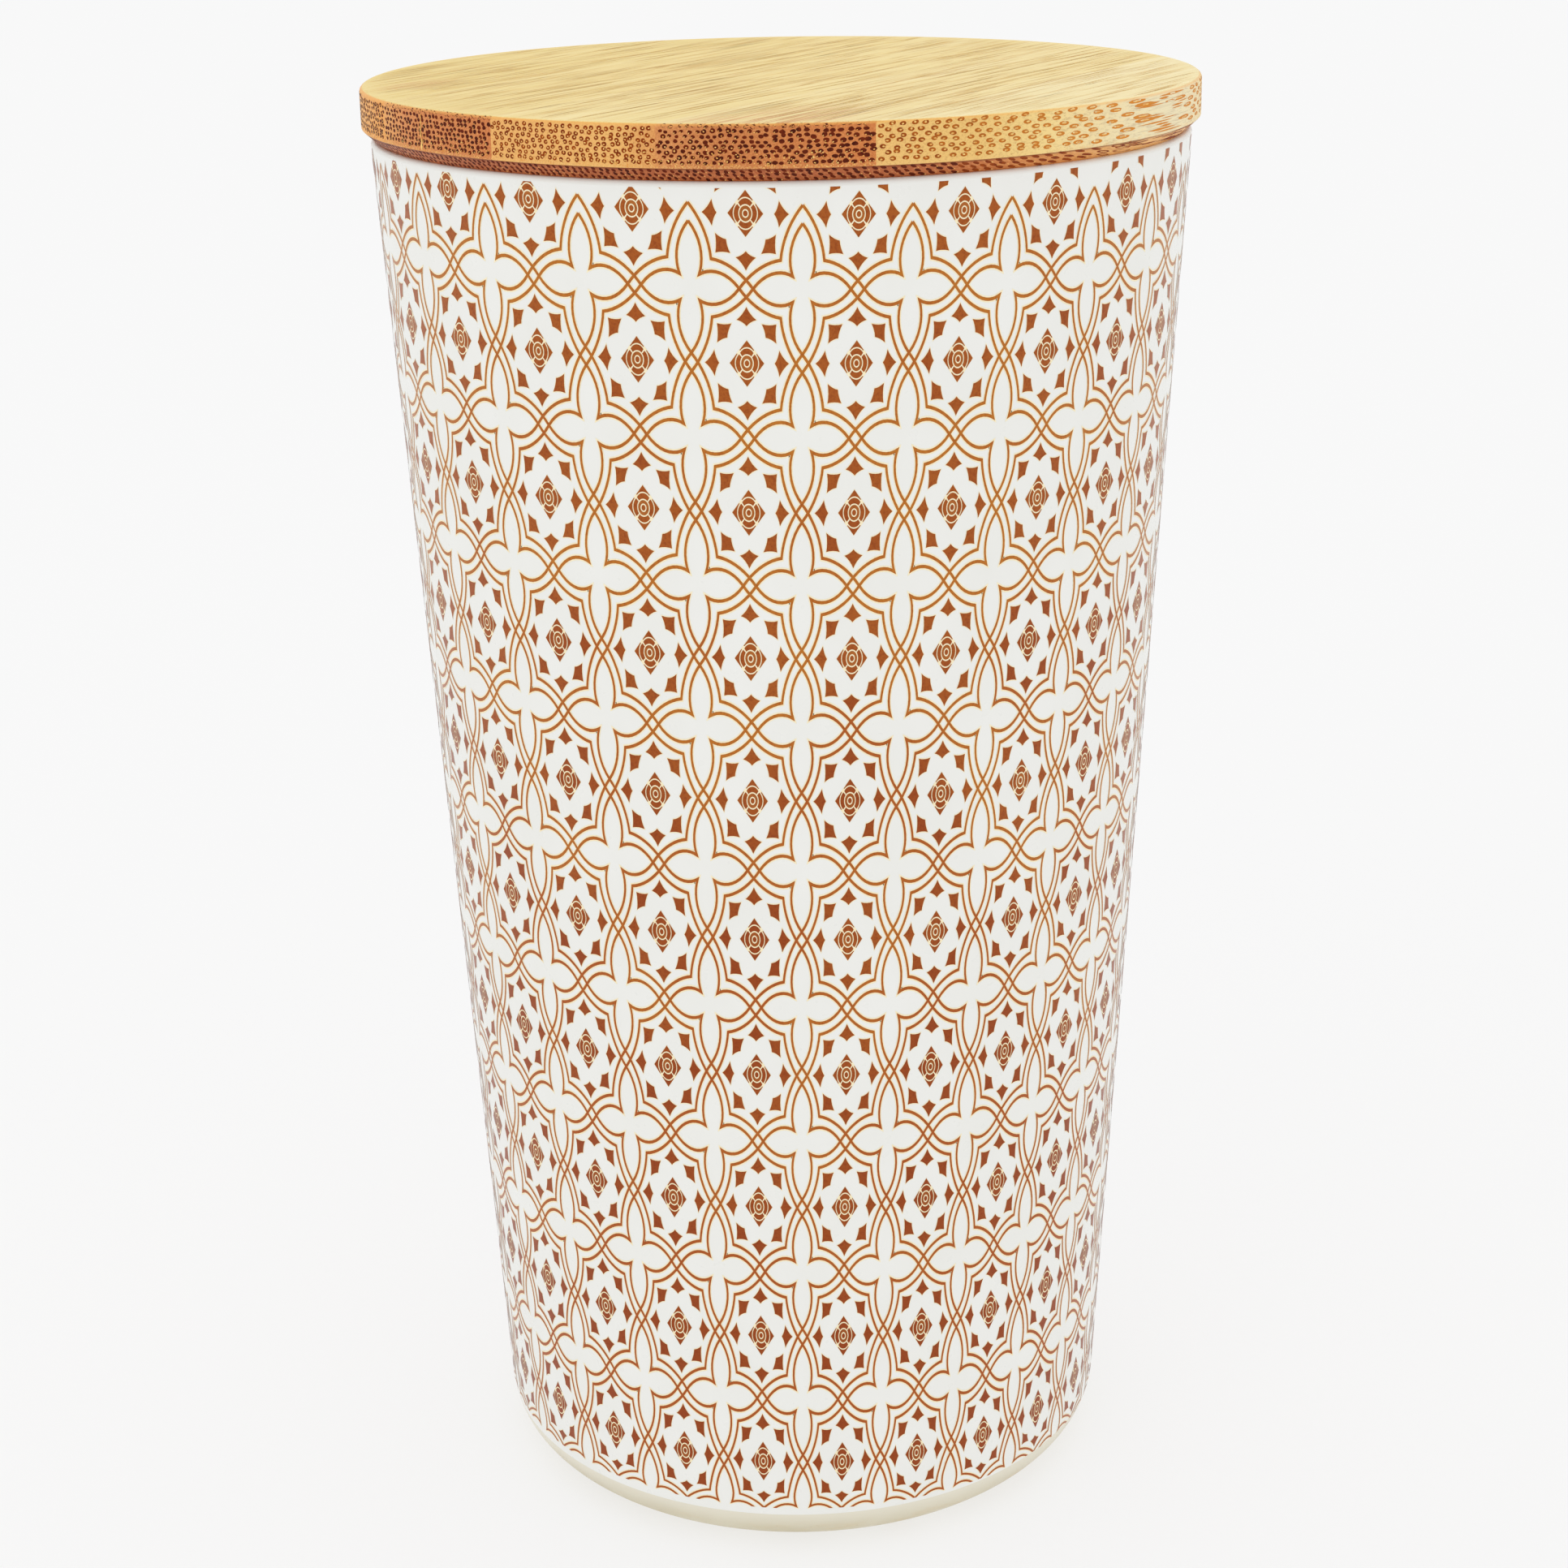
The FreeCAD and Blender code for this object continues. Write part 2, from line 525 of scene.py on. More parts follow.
def shapes_motif():
    """The solid shapes round one medallion, and the medallion's own petals."""
    motif = Motif()
    for corners, sag in ((star, 0.008), (square, 0.007)):
        middle, outline = sagging(corners, sag, 4)
        for centre, edge in zip(turns([middle], False), turns(outline, False)):
            motif.fan(centre[0], edge)
    angle = np.radians(np.linspace(49, 131, 9))
    reach = lobe_centre * np.sin(angle) + np.sqrt(
        lobe_radius ** 2 - (lobe_centre * np.cos(angle)) ** 2)
    spokes = np.stack([np.cos(angle), np.sin(angle)], -1)
    for foot, head in zip(turns(spokes * lobe_foot, False), turns(spokes * reach[:, None], False)):
        motif.band(foot, head)
    sweep = np.radians(np.linspace(45, 135, 9))
    arc = np.stack([np.cos(sweep), np.sin(sweep)], -1) * (lobe_radius + lobe_gap)
    arc = arc + [0, lobe_centre]
    side = np.linspace(corner_half_width, -corner_half_width, 9)
    edge = np.stack([side, diamond - np.abs(side)], -1)
    for low, high in zip(turns(arc, False), turns(edge, False)):
        motif.band(low, high)
    motif.fan((0, 0), circle(core_radius, 14))
    return motif


def circle(radius, count):
    angle = np.arange(count) * TURN / count
    return np.stack([np.cos(angle), np.sin(angle)], -1) * radius


def cream_motif():
    """The pale ground under a medallion and just round the solid shapes."""
    motif = Motif()
    edge = diamond + 0.005
    half = edge / 2
    motif.fan((0, 0), [(edge, 0), (half, half), (0, edge), (-half, half),
                       (-edge, 0), (-half, -half), (0, -edge), (half, -half)])
    grown = 1.12
    for corners in (star, square):
        middle, outline = sagging(corners, 0.006, 3)
        wide = [middle + (p - middle) * grown for p in outline]
        for centre, ring in zip(turns([middle], False), turns(wide, False)):
            motif.fan(centre[0], ring)
    return motif


def ring_motif():
    """The brown ring inside a medallion."""
    motif = Motif()
    inner, outer = circle(ring_inner, 20), circle(ring_outer, 20)
    motif.band(np.concatenate([inner, inner[:1]]), np.concatenate([outer, outer[:1]]))
    return motif


def print_layer(name, motifs, lift, finish):
    """Repeats motifs over the lattice, lays them on the wall and trims the print's two edges.

    Each of the motifs comes with its offset in the lattice and its first and last row.
    """
    points, faces = [], []
    for motif, offset, first_row, last_row in motifs:
        flat = np.array(motif.points)
        for row in range(first_row, last_row + 1):
            for column in range(columns):
                start = len(points)
                points.extend(map(tuple, flat + [column + offset, -row - offset]))
                faces.extend(tuple(start + c for c in face) for face in motif.faces)
    shape = bmesh.new()
    made = [shape.verts.new((x, y, 0)) for x, y in points]
    for face in faces:
        shape.faces.new([made[c] for c in face])
    cut_away(shape, (0, -print_bottom_row, 0), (0, -1, 0))
    flat = np.array([v.co[:2] for v in shape.verts])
    angle, height = lattice(flat[:, 0], -flat[:, 1])
    placed = on_wall(angle, height, lift) / MM
    for vertex, co in zip(shape.verts, placed):
        vertex.co = co
    cut_away(shape, (0, 0, (foil_top - edge_trim) / MM), (0, 0, 1))
    mesh = bpy.data.meshes.new(name)
    shape.to_mesh(mesh)
    shape.free()
    mesh.shade_smooth()
    settled = np.array([v.co for v in mesh.vertices]) * MM
    mesh.normals_split_custom_set_from_vertices([tuple(n) for n in wall_normals(settled)])
    piece(name, mesh, finish, "jar", "foil")


# ---- the lid ----

def strip_spans(first_joint, reach):
    """Each strip's left and right edge across the grain. The outer two end at the reach."""
    joints = [first_joint + stave_width * i for i in range(strips - 1)]
    return list(zip([-reach] + joints, joints + [reach]))


def make_strips(name, outline, first_joint, finishes, slot):
    """Saws a turned board into its strips, each standing for its CAD node."""
    points, faces = lathe(outline)
    for i, (left, right) in enumerate(strip_spans(first_joint, 2 * lid_radius)):
        shape = bmesh.new()
        made = [shape.verts.new(Vector(p) / MM) for p in points]
        for face in faces:
            shape.faces.new([made[c] for c in face])
        shape.normal_update()
        for edge, side in ((left, -1), (right, 1)):
            rim = cut_away(shape, (*(across * edge / MM), 0), (*(across * side), 0))
            if rim:
                bmesh.ops.contextual_create(shape, geom=rim)
        bmesh.ops.recalc_face_normals(shape, faces=shape.faces[:])
        label = name + str(i + 1)
        mesh = bpy.data.meshes.new(label)
        shape.to_mesh(mesh)
        shape.free()
        mesh.shade_smooth()
        mesh.set_sharp_from_angle(angle=math.radians(30))
        node = name.replace("board_", "stave_") + str(i + 1)
        piece(label, mesh, finishes[i], "lid", slot, node)


def make_lid(upper_finishes, lower_finishes):
    upper = rounded([(0, lid_seam), (lid_radius, lid_seam),
                     (lid_radius, lid_top, arris_round, 8), (0, lid_top)])
    lower = rounded([(0, plug_foot), (plug_radius, plug_foot, plug_round, 8),
                     (plug_radius, groove_low), (groove_radius, groove_low),
                     (groove_radius, groove_high), (plug_radius, groove_high),
                     (plug_radius, rim_height), (lid_radius - flange_chamfer, rim_height),
                     (lid_radius, lid_seam), (0, lid_seam)])
    make_strips("upper_board_", upper, upper_first_joint, upper_finishes, "bamboo_upper")
    make_strips("lower_board_", lower, lower_first_joint, lower_finishes, "bamboo_lower")


def make_seal(finish):
    low, high = seal_bottom, seal_top
    inner = groove_radius + seal_clearance
    rib = bore_radius(low) - seal_clearance
    valley = rib - rib_stand
    soft = rib_height / 3
    outline = rounded([
        (inner, low), (rib, low, soft, 6), (rib, low + rib_height, soft, 6),
        (valley, low + rib_height), (valley, high - rib_height),
        (rib, high - rib_height, soft, 6), (rib, high, soft, 6), (inner, high)])
    points, faces = lathe(outline)
    piece("seal_band", mesh_of("seal_band", points, faces), finish, "seal", "seal", "seal_ring")


# ---- end grain on the lid's edge ----

def edge_radius(z):
    """Radius of the lid's edge at a height."""
    if z < lid_seam:
        return lid_radius - flange_chamfer * (lid_seam - z) / (lid_seam - rim_height)
    over = max(0.0, z - (lid_top - arris_round))
    return lid_radius - arris_round + math.sqrt(max(0.0, arris_round ** 2 - over ** 2))


def edge_point(a, z, side, lift):
    """A point on the lid's edge, where a fibre at distance a across the grain comes out."""
    radius = edge_radius(z) + lift
    a = max(-radius, min(radius, a))
    z = min(z, lid_top)
    b = side * math.sqrt(max(0.0, radius * radius - a * a))
    x, y = across * a + along * b
    return x, y, z


class Marks:
    """Small flat shapes laid on the lid, gathered into one mesh."""

    def __init__(self):
        self.points = []
        self.faces = []

    def band(self, first, second, flip):
        start = len(self.points)
        count = len(first)
        self.points += first + second
        for i in range(count - 1):
            face = (start + i, start + i + 1, start + count + i + 1, start + count + i)
            self.faces.append(face[::-1] if flip else face)

    def fan(self, edge, flip):
        start = len(self.points)
        self.points += edge
        face = tuple(range(start, start + len(edge)))
        self.faces.append(face[::-1] if flip else face)


mark_lift = 0.012         # off the lid's edge
fleck_lift = 0.02
pore_tip = 0.004          # half the width at which a curved pore ends
taper_margin = 0.04       # share of its length left off a fibre's pointed ends

# how dense the bundles are across each strip of the upper board, from left to right
upper_density = [(0.5, 0.8), (0.8, 1.0), (0.4, 0.52), (0.66, 1.0), (0.32, 0.0)]
solid_above = 0.8         # density over which every bundle is one filled pore
dark_above = 0.58         # the pores' tone is dark over this, then brown, then orange
brown_above = 0.33
solid_share = 0.7         # filled pores among the dark ones
# dense pores that also get a painted highlight, a small bright spot
highlight_share = 0.5
lower_rows = [0.32, 0.8, 1.26]  # the lower board's rows of pores, above the rim
lower_brown_from = 41.0   # across the grain, where those pores turn from dark to brown
# the lower board's pores that get a painted highlight
lower_highlight_share = 0.4
loose_flecks = 900        # on each half of the edge
flecks_until = 35.0
splinter_place = -19.0    # a pale splinter that runs up the edge
fibre_count = 1100
fibre_lift = 0.006        # the lowest fibres, off the lid's top
fibre_layer = 0.0025      # fibres that cross lie on layers of their own
fibre_layers = 12


def taper(t):
    """Relative half width of a slit or a fibre at a share of its length."""
    return math.sin(math.pi * (taper_margin + (1 - 2 * taper_margin) * t))


def crescent(marks, a, z, side, reach, thick, start, sweep, steps):
    """A curved pore: part of an oval round a bundle's centre, pointed at its ends.

    reach is the oval's half width across the grain and its half height.
    """
    inner, outer = [], []
    for k in range(steps + 1):
        t = k / steps
        angle = start + sweep * t
        half = thick * math.sqrt(max(0.0, 1 - (2 * t - 1) ** 2)) / 2 + pore_tip
        for row, grown in ((inner, -half), (outer, half)):
            row.append(edge_point(a + (reach[0] + grown) * math.cos(angle),
                                  z + (reach[1] + grown) * math.sin(angle), side, mark_lift))
    marks.band(inner, outer, side < 0)


def blob(marks, a, z, side, wide, high, lift, count=9):
    """A filled pore with an uneven outline."""
    edge = []
    for k in range(count):
        angle = TURN * k / count
        grown = chance.uniform(0.84, 1.12)
        edge.append(edge_point(a + wide * grown * math.cos(angle),
                               z + high * grown * math.sin(angle), side, lift))
    marks.fan(edge, side > 0)


def groove(marks, middle, z, reach, high):
    """A slit where a fibre runs along the edge instead of out through it."""
    lower, upper = [], []
    for k in range(9):
        t = k / 8
        turn = middle + reach * (2 * t - 1)
        half = high * taper(t) * chance.uniform(0.75, 1.15)
        for row, offset in ((lower, -half), (upper, half)):
            radius = edge_radius(z + offset) + mark_lift
            x, y = radius * (across * math.cos(turn) + along * math.sin(turn))
            row.append((x, y, z + offset))
    marks.band(lower, upper, False)


def bundle(marks, flecks_and_highlights, a, z, side, dense):
    """One vascular bundle: a ring round a bright core, or one dark pore where dense, some of these
    with a painted highlight.
    """
    spin = chance.uniform(0, TURN)
    if dense > solid_above or (dense > dark_above and chance.random() < solid_share):
        wide = chance.uniform(0.12, 0.17) + 0.14 * dense
        blob(marks, a, z, side, wide, wide * chance.uniform(0.75, 0.95), mark_lift)
        if chance.random() < highlight_share:
            blob(flecks_and_highlights, a - wide * 0.4, z - wide * 0.4, side, 0.065, 0.06, fleck_lift, 5)
        return
    size = chance.uniform(0.17, 0.205)
    thick = 0.15 + 0.16 * dense
    crescent(marks, a, z, side, (size, size * 0.88), thick, spin, TURN, 10)
    blob(flecks_and_highlights, a + 0.02, z - 0.02, side, 0.085, 0.08, fleck_lift, 6)


def spacing_at(dense):
    """Distance between bundles, which are closest towards the culm's outside."""
    return 0.95 - 0.24 * dense


def upper_grain(tones, flecks_and_highlights, side):
    """Staggered rows of bundles on one half of the upper board's edge."""
    dark, brown, orange = tones
    spans = strip_spans(upper_first_joint, lid_radius)
    for (left, right), (first, last) in zip(spans, upper_density):
        middling = spacing_at((first + last) / 2)
        row_step = 0.62 - 0.07 * (first + last) / 2
        z = lid_seam + 0.12
        stagger = 0
        while z < lid_top - 0.2:
            a = left + (stagger + chance.uniform(0, 0.25)) * middling
            stagger = 0.5 - stagger
            while a < right - 0.1:
                dense = first + (last - first) * ((a - left) / (right - left))
                place_a = a + chance.uniform(-0.14, 0.14)
                place_z = z + chance.uniform(-0.13, 0.13)
                marks = dark if dense > dark_above else brown if dense > brown_above else orange
                inside = lid_seam + 0.3 < place_z < lid_top - 0.1
                if inside and left + 0.15 < place_a < right - 0.15:
                    bundle(marks, flecks_and_highlights, place_a, place_z, side, dense)
                a += spacing_at(dense) * chance.uniform(0.9, 1.1)
            z += row_step


def lower_grain(dark, brown, flecks_and_highlights, side):
    """Rows of filled pores on one half of the lower board's edge, some with a painted highlight.
    """
    stagger = 0
    for above in lower_rows:
        z = rim_height + above
        a = -edge_radius(z) + 0.2 + stagger
        stagger = 0.33 - stagger
        while a < edge_radius(z) - 0.2:
            wide = chance.uniform(0.2, 0.26)
            marks = dark if a < lower_brown_from else brown
            blob(marks, a, z + chance.uniform(-0.1, 0.1), side, wide, 0.22, mark_lift, 8)
            if chance.random() < lower_highlight_share:
                blob(flecks_and_highlights, a + 0.24, z - 0.16, side, 0.07, 0.06, fleck_lift, 5)
            a += chance.uniform(0.7, 0.9)


def pale_fibres(flecks_and_highlights, side):
    """Loose fibre ends, most of them near the seam, and a splinter. Each overlap has a lift."""
    for k in range(loose_flecks):
        a = chance.uniform(-lid_radius + 0.5, flecks_until)
        z = lid_seam + 0.08 + min(3.8, chance.expovariate(1.5))
        blob(flecks_and_highlights, a, z, side, chance.uniform(0.04, 0.09), chance.uniform(0.04, 0.1),
             fleck_lift + 0.002 + 0.001 * (k % 8), 5)
    for k in range(6):
        blob(flecks_and_highlights, splinter_place + 0.09 * math.sin(1.7 * k), lid_seam + 0.5 + 0.68 * k, side,
             0.17 - 0.018 * k, 0.4, fleck_lift + 0.011 + 0.001 * k, 7)


def side_grooves(upper, lower, middle):
    """Slits round the place where the fibres run along the edge."""
    for k in range(15):
        groove(upper, middle + chance.uniform(-0.09, 0.11), lid_seam + 0.35 + 0.29 * k,
               chance.uniform(0.02, 0.085), chance.uniform(0.06, 0.14))
    for k in range(12):
        groove(lower, middle + chance.uniform(-0.16, 0.16), rim_height + 0.2 + 0.11 * k,
               chance.uniform(0.03, 0.08), chance.uniform(0.05, 0.1))


def make_end_grain(finishes):
    """Pores all round the lid's edge in three tones, the bright fibres among them, and painted
    highlights on some pores.
    """
    dark, brown, orange, flecks_and_highlights = Marks(), Marks(), Marks(), Marks()
    for side in (-1, 1):
        upper_grain((dark, brown, orange), flecks_and_highlights, side)
        lower_grain(dark, brown, flecks_and_highlights, side)
        pale_fibres(flecks_and_highlights, side)
    side_grooves(orange, brown, 0.0)
    side_grooves(dark, brown, math.pi)
    names = ("pores_dark", "pores_brown", "pores_orange", "fibre_flecks_and_highlights")
    for name, marks, finish in zip(names, (dark, brown, orange, flecks_and_highlights), finishes):
        mesh = mesh_of(name, marks.points, marks.faces)
        piece(name, mesh, finish, "lid", "bamboo_upper")


def make_face_grain(finish):
    """Slender fibres that show along the grain on the lid's top."""
    marks = Marks()
    reach = lid_radius - arris_round - 0.3
    for k in range(fibre_count):
        distance = reach * math.sqrt(chance.random())
        heading = chance.uniform(0, TURN)
        a = distance * math.cos(heading)
        limit = math.sqrt(reach * reach - a * a)
        length = chance.uniform(4, 26)
        b = max(-limit, distance * math.sin(heading) - length / 2)
        length = min(length, limit - b)
        height = lid_top + fibre_lift + fibre_layer * (k % fibre_layers)
        width = chance.uniform(0.03, 0.065)
        first, second = [], []
        for step in range(5):
            t = step / 4
            half = width * taper(t)
            for row, offset in ((first, -half), (second, half)):
                x, y = across * (a + offset) + along * (b + length * t)
                row.append((x, y, height))
        marks.band(first, second, True)
    mesh = mesh_of("face_fibres", marks.points, marks.faces)
    piece("face_fibres", mesh, finish, "lid", "bamboo_upper")


# ---- finishes ----

def jar_finish():
    """Moulded plastic: mottled and ivory at the heel, clean and white above it."""
    finish = Finish("moulded_ivory", 0.35, specular=0.35)
    broad = finish.noise((14, 14, 9), 3, 0.6, seed=2)
    tone = finish.ramp(broad, [(0.3, srgb(203, 192, 160)), (0.7, srgb(216, 208, 182))])
    specks = finish.span(finish.noise((0.5, 0.5, 0.5), 2, 0.6, seed=5), 0.68, 0.76, 0, 0.6)
    tone = finish.blend(specks, tone, srgb(184, 160, 116))
    stain = finish.span(finish.noise((6, 6, 2), 3, 0.6, seed=12), 0.52, 0.7, 0, 0.45)
    tone = finish.blend(stain, tone, srgb(206, 184, 138))
    clean = finish.ramp(broad, [(0.3, srgb(236, 236, 230)), (0.7, srgb(240, 240, 235))])
    height = finish.parts(finish.place)[2]
    paler = finish.span(height, 1.8 / MM, 6.8 / MM)
    tone = finish.blend(paler, tone, srgb(232, 227, 210))
    finish.colour(finish.blend(finish.span(height, 6.0 / MM, 20.0 / MM), tone, clean))
    finish.gloss(finish.span(finish.noise((3, 3, 3), 3, seed=9), 0.2, 0.8, 0.28, 0.42))
    finish.bump(finish.noise((0.6, 0.6, 0.6), 3, seed=4), 0.02, 0.4)
    return finish


def foil_finish():
    """White film with a faint waviness in its gloss."""
    finish = Finish("white_film", 0.3, specular=0.4)
    broad = finish.noise((9, 9, 12), 3, 0.6, seed=1)
    finish.colour(finish.ramp(broad, [(0.3, srgb(238, 238, 233)), (0.7, srgb(241, 241, 237))]))
    finish.gloss(finish.span(finish.noise((2, 2, 2), 2, seed=3), 0.2, 0.8, 0.26, 0.36))
    finish.bump(finish.noise((2.4, 2.4, 3.2), 2, seed=7), 0.012, 0.5)
    return finish


def ink_finish(name, low, high, dark):
    """Printed ink: two tones that vary with height, broken up by the screen's fine grain."""
    finish = Finish(name, 0.28, specular=0.16, sheen=0.4)
    level = finish.sum("MULTIPLY", finish.parts(finish.place)[2], MM / rim_height)
    patch = finish.noise((13, 13, 16), 2, seed=6)
    share = finish.sum("ADD", level, finish.span(patch, 0.25, 0.75, -0.3, 0.3))
    tone = finish.blend(finish.span(share, 0.1, 1.05), low, high)
    grain = finish.span(finish.noise((0.35, 0.35, 0.35), 3, 0.7, seed=8), 0.42, 0.7, 0, 0.55)
    finish.colour(finish.blend(grain, tone, dark))
    finish.gloss(finish.span(patch, 0.2, 0.8, 0.28, 0.38))
    return finish


def bamboo_finish(name, seed, ends, faces, span, patches, upper):
    """Lacquered bamboo of one strip, on the upper or the lower board.

    ends colour the sawn ends, across the strip's span. faces are the long sides' tones.
    Each patch on those is its centre and size, across and along the grain, a colour and
    an amount.
    """
    finish = Finish(name, 0.45, specular=0.14)
    left, right = span
    place = finish.turned(-grain_angle)
    a, b, z = finish.parts(place)
    streaks = finish.noise((0.34, 24, 0.34), 4, 0.72, seed, place)
    broad = finish.noise((3.2, 60, 3.2), 3, 0.6, seed + 3, place)
    fine = finish.noise((0.24, 14, 0.24), 3, 0.7, seed + 5, place)
    mixed = finish.sum("ADD", finish.sum("MULTIPLY", streaks, 0.72),
                       finish.sum("MULTIPLY", broad, 0.28))
    face = finish.ramp(mixed, [(0.38, faces[0]), (0.5, faces[1]), (0.6, faces[2])])
    lines = finish.span(fine, 0.57, 0.68, 0, 0.5)
    face = finish.blend(lines, face, faces[3])
    for centre_a, centre_b, size_a, size_b, colour, amount in patches:
        spot = finish.add("Mapping", {
            "Vector": place, "Scale": (MM / size_a, MM / size_b, 0),
            "Location": (-centre_a / size_a, -centre_b / size_b, 0)})
        glow = finish.add("TexGradient", {"Vector": spot.outputs["Vector"]},
                          gradient_type="SPHERICAL").outputs["Fac"]
        share = finish.sum("MULTIPLY", finish.span(glow, 0.0, 0.8, 0, amount),
                           finish.span(streaks, 0.46, 0.6, 0, 1))
        face = finish.blend(share, face, colour)
    across_strip = finish.span_linear(a, left / MM, right / MM)
    end = finish.ramp(across_strip, ends)
    mottle = finish.noise((0.2, 40, 0.2), 3, 0.7, seed + 7, place)
    end = finish.blend(finish.span(mottle, 0.45, 0.75, 0, 0.4), end, srgb(130, 60, 20))
    end = finish.blend(finish.span(mottle, 0.47, 0.25, 0, 0.4), end, srgb(255, 214, 138))
    if not upper:
        # painted shade: the lower board's ends darken just under the seam, in the joint between
        # the two boards
        seam_shade = finish.span(z, (lid_seam - 0.35) / MM, (lid_seam - 0.05) / MM, 0, 0.6)
        end = finish.blend(seam_shade, end, srgb(104, 42, 20))
    if upper:
        # painted highlight: the upper board's edge turns lighter towards its rounded top edge
        crest_highlight = finish.span(z, (lid_top - 0.4) / MM, (lid_top - 0.15) / MM, 0, 0.5)
        end = finish.blend(crest_highlight, end, srgb(250, 186, 98))
        frayed = finish.noise((0.18, 30, 0.22), 2, 0.6, seed + 9, place)
        near_seam = finish.span(z, (lid_seam + 0.55) / MM, (lid_seam + 0.1) / MM, 0, 0.5)
        share = finish.sum("MULTIPLY", near_seam, finish.span(frayed, 0.45, 0.62))
        end = finish.blend(share, end, srgb(240, 196, 128))
    normal = finish.add("NewGeometry").outputs["Normal"]
    upward = finish.sum("ABSOLUTE", finish.parts(normal)[2])
    finish.colour(finish.blend(finish.span(upward, 0.8, 0.97), end, face))
    finish.gloss(finish.span(streaks, 0.3, 0.7, 0.36, 0.5))
    finish.bump(streaks, 0.02, 0.12)
    return finish


def mark_finish(name, light, dark, seed, far=None):
    """A pore or a fibre, its tone varying from one to the next.

    With far, the tone also moves towards that colour at the lid's right-hand edge.
    """
    finish = Finish(name, 0.55, specular=0.1)
    tone = finish.noise((0.9, 0.9, 0.9), 2, 0.6, seed)
    colour = finish.ramp(tone, [(0.35, dark), (0.65, light)])
    if far:
        a = finish.parts(finish.turned(-grain_angle))[0]
        colour = finish.blend(finish.span_linear(a, 38.0 / MM, 51.0 / MM), colour, far)
    finish.colour(colour)
    finish.gloss(finish.span(tone, 0.2, 0.8, 0.5, 0.65))
    return finish


def seal_finish():
    """Milky, slightly see-through silicone."""
    finish = Finish("silicone", 0.4)
    cloud = finish.noise((3, 3, 3), 2, seed=3)
    finish.colour(finish.ramp(cloud, [(0.3, srgb(222, 224, 222)), (0.7, srgb(236, 238, 237))]))
    finish.gloss(finish.span(cloud, 0.2, 0.8, 0.35, 0.5))
    finish.surface.inputs["Transmission Weight"].default_value = 0.35
    finish.surface.inputs["IOR"].default_value = 1.41
    finish.surface.inputs["Subsurface Weight"].default_value = 0.1
    return finish


make_jar(jar_finish())
make_foil(foil_finish())
make_seal(seal_finish())

cream = ink_finish("cream_ink", srgb(250, 236, 198), srgb(252, 240, 205), srgb(246, 228, 180))
line_ink = ink_finish("gold_ink", srgb(174, 88, 30), srgb(190, 116, 38), srgb(156, 72, 22))
shape_ink = ink_finish("brown_ink", srgb(152, 68, 20), srgb(170, 90, 30), srgb(130, 50, 12))
ring_ink = ink_finish("ring_ink", srgb(160, 84, 30), srgb(178, 104, 42), srgb(136, 66, 20))


def line_rows(half_width):
    """The crosses' curves with the rows that each form of them fills."""
    return [(line_motif(half_width, "above"), 0.5, -1, -1),
            (line_motif(half_width, "first"), 0.5, 0, 0),
            (line_motif(half_width), 0.5, 1, rows)]


print_layer("print_cream", line_rows(cream_half_width) + [(cream_motif(), 0, -1, rows)],
            cream_lift, cream)
print_layer("print_lines", line_rows(line_half_width), ink_lift, line_ink)
print_layer("print_shapes", [(shapes_motif(), 0, -1, rows)], ink_lift, shape_ink)
print_layer("print_rings", [(ring_motif(), 0, 0, rows)], ink_lift, ring_ink)


def face_tones(red, green, blue):
    """The four tones of a strip's long side round its middle one: dark, middle, light, line."""
    return (srgb(red - 5, green - 9, blue - 15), srgb(red, green, blue),
            srgb(red + 4, green + 7, blue + 18), srgb(red - 17, green - 32, blue - 48))


# for the upper board's five strips from left to right, and the lower's from right to left
faces = [face_tones(243, 217, 134), face_tones(244, 218, 137), face_tones(246, 222, 146),
         face_tones(247, 224, 152), face_tones(249, 230, 168)]
streak = srgb(206, 120, 48)

# the sawn ends' tones across each strip, and the patches on it, from left to right
upper_ends = [
    [(0.0, srgb(248, 190, 100)), (1.0, srgb(244, 168, 82))],
    [(0.0, srgb(240, 170, 96)), (0.25, srgb(222, 142, 82)), (1.0, srgb(212, 128, 74))],
    [(0.0, srgb(240, 180, 106)), (0.8, srgb(242, 186, 110)), (1.0, srgb(226, 156, 90))],
    [(0.0, srgb(220, 146, 88)), (0.3, srgb(206, 128, 74)), (1.0, srgb(212, 128, 70))],
    [(0.0, srgb(240, 192, 116)), (0.45, srgb(240, 198, 120)), (0.72, srgb(247, 217, 145)),
     (1.0, srgb(244, 230, 188))]]
# the lower board's ends are darker than the upper's: partly their own tone, partly painted shade
# of the chamfer that faces down
dusky_and_shaded = [(0.0, srgb(180, 98, 58)), (1.0, srgb(188, 104, 60))]
lower_ends = [dusky_and_shaded] * 4 + [
    [(0.0, srgb(182, 100, 60)), (0.45, srgb(186, 102, 60)), (0.66, srgb(206, 122, 68)),
     (0.84, srgb(226, 150, 82)), (0.97, srgb(242, 184, 112))]]
upper_patches = [[(-35, -28, 4, 10, streak, 0.85)], [], [],
                 [(24, -44, 12, 22, streak, 0.9)], []]
upper_spans = strip_spans(upper_first_joint, lid_radius)
lower_spans = strip_spans(lower_first_joint, lid_radius)
uppers, lowers = [], []
for i in range(strips):
    uppers.append(bamboo_finish("bamboo_upper_" + str(i + 1), 4.0 * i + 1, upper_ends[i],
                                faces[i], upper_spans[i], upper_patches[i], True))
    lowers.append(bamboo_finish("bamboo_lower_" + str(i + 1), 3.0 * i + 31, lower_ends[i],
                                faces[-1 - i], lower_spans[i], [], False))
make_lid(uppers, lowers)
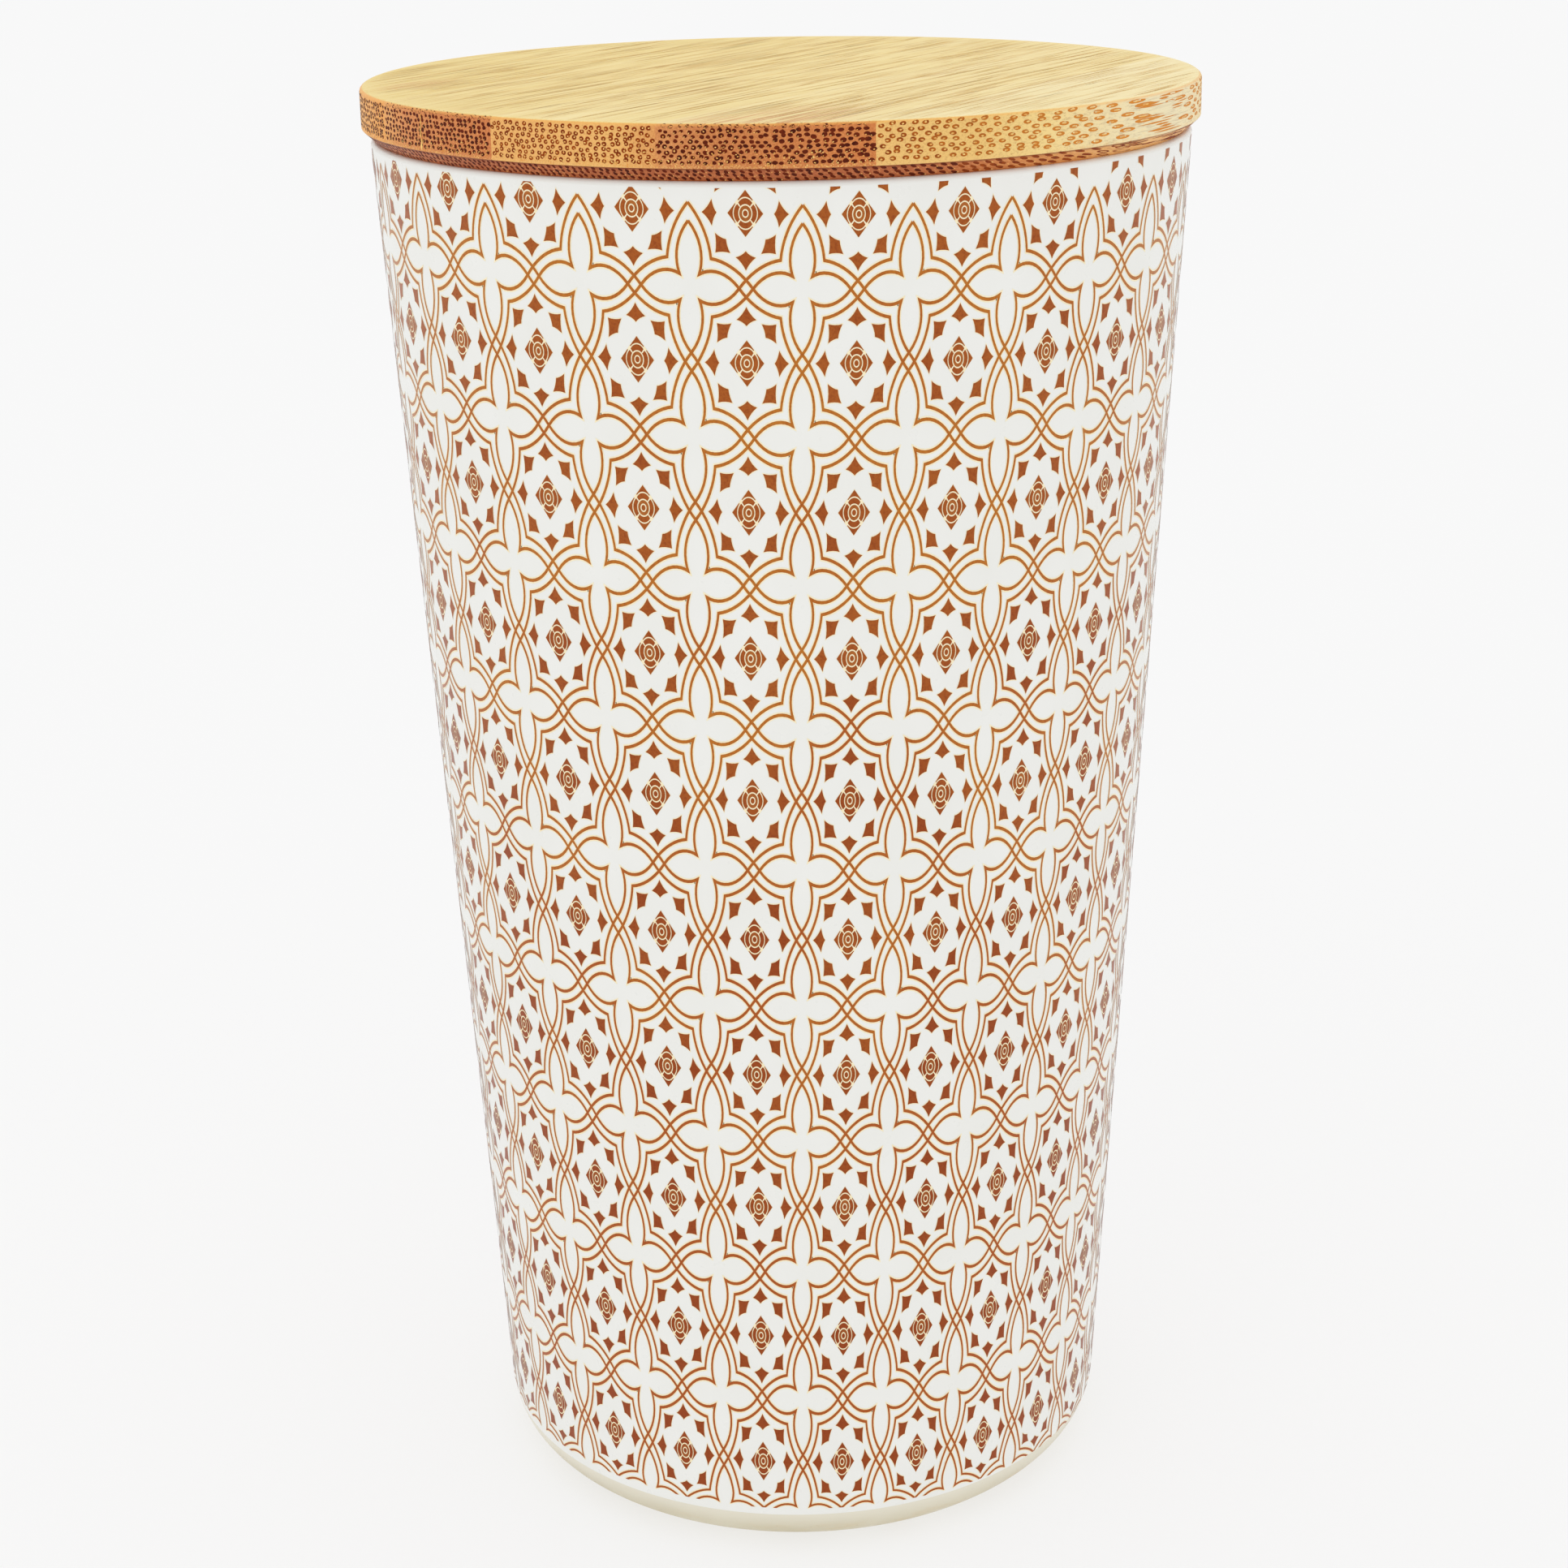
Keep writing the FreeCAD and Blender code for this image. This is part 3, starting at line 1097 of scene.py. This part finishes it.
make_end_grain([
    mark_finish("pore_dark", srgb(112, 38, 8), srgb(70, 18, 2), 1),
    mark_finish("pore_brown", srgb(158, 72, 18), srgb(122, 44, 6), 2),
    mark_finish("pore_orange", srgb(182, 98, 30), srgb(138, 60, 12), 3, srgb(218, 138, 52)),
    # fleck: pale fibre ends, and the painted highlights on pores
    mark_finish("fleck_and_highlight", srgb(255, 214, 130), srgb(232, 160, 74), 4)])
make_face_grain(mark_finish("face_fibre", srgb(238, 205, 130), srgb(226, 184, 106), 5))


# ---- floor, light and camera ----

floor_tone = 0.3          # what the floor sends back of the light on it
floor_glow = 0.655        # and its own light, so that it comes out almost white
sky_strength = 0.95
camera_place = (0, -0.36773, 0.22275)
camera_down = 17.594      # degrees below level
camera_pan = -0.071       # degrees to the left, when above zero
camera_roll = -0.962


def make_floor():
    """A wide pale floor. It is stage, not part of the canister."""
    half = 20.0
    mesh = bpy.data.meshes.new("floor")
    mesh.from_pydata([(-half, -half, 0), (half, -half, 0), (half, half, 0), (-half, half, 0)],
                     [], [(0, 1, 2, 3)])
    floor = bpy.data.objects.new("floor", mesh)
    bpy.context.scene.collection.objects.link(floor)
    finish = Finish("pale_floor", 0.9, specular=0.0)
    finish.surface.inputs["Base Color"].default_value = (*[floor_tone] * 3, 1)
    finish.surface.inputs["Emission Color"].default_value = (1, 1, 1, 1)
    finish.surface.inputs["Emission Strength"].default_value = floor_glow
    mesh.materials.append(finish.material)


def make_light(name, place, target, size, power):
    data = bpy.data.lights.new(name, "AREA")
    data.shape = "RECTANGLE"
    data.size, data.size_y = size
    data.energy = power
    lamp = bpy.data.objects.new(name, data)
    lamp.location = place
    lamp.rotation_euler = (Vector(target) - Vector(place)).to_track_quat("-Z", "Y").to_euler()
    bpy.context.scene.collection.objects.link(lamp)


def make_camera():
    data = bpy.data.cameras.new("camera")
    data.sensor_width = 36.0
    data.lens = 66.7
    data.shift_x = -0.0066
    data.shift_y = -0.0641
    data.clip_start = 0.01
    data.clip_end = 100
    camera = bpy.data.objects.new("camera", data)
    bpy.context.scene.collection.objects.link(camera)
    tip = Matrix.Rotation(math.radians(90 - camera_down), 4, "X")
    pan = Matrix.Rotation(math.radians(camera_pan), 4, "Z")
    roll = Matrix.Rotation(math.radians(camera_roll), 4, "Z")
    camera.matrix_world = Matrix.Translation(camera_place) @ pan @ tip @ roll
    bpy.context.scene.camera = camera


def make_surroundings():
    """Even white light from all round, and plain tones in the picture."""
    world = bpy.data.worlds.new("studio")
    bpy.context.scene.world = world
    world.use_nodes = True
    sky = world.node_tree.nodes["Background"]
    sky.inputs["Color"].default_value = (1, 1, 1, 1)
    sky.inputs["Strength"].default_value = sky_strength
    view = bpy.context.scene.view_settings
    view.view_transform = "Standard"
    view.look = "None"


make_surroundings()
middle = (0, 0, 0.1)
make_floor()
make_light("key", (-0.5, -0.7, 0.8), middle, (0.6, 0.6), 0.35)
make_camera()
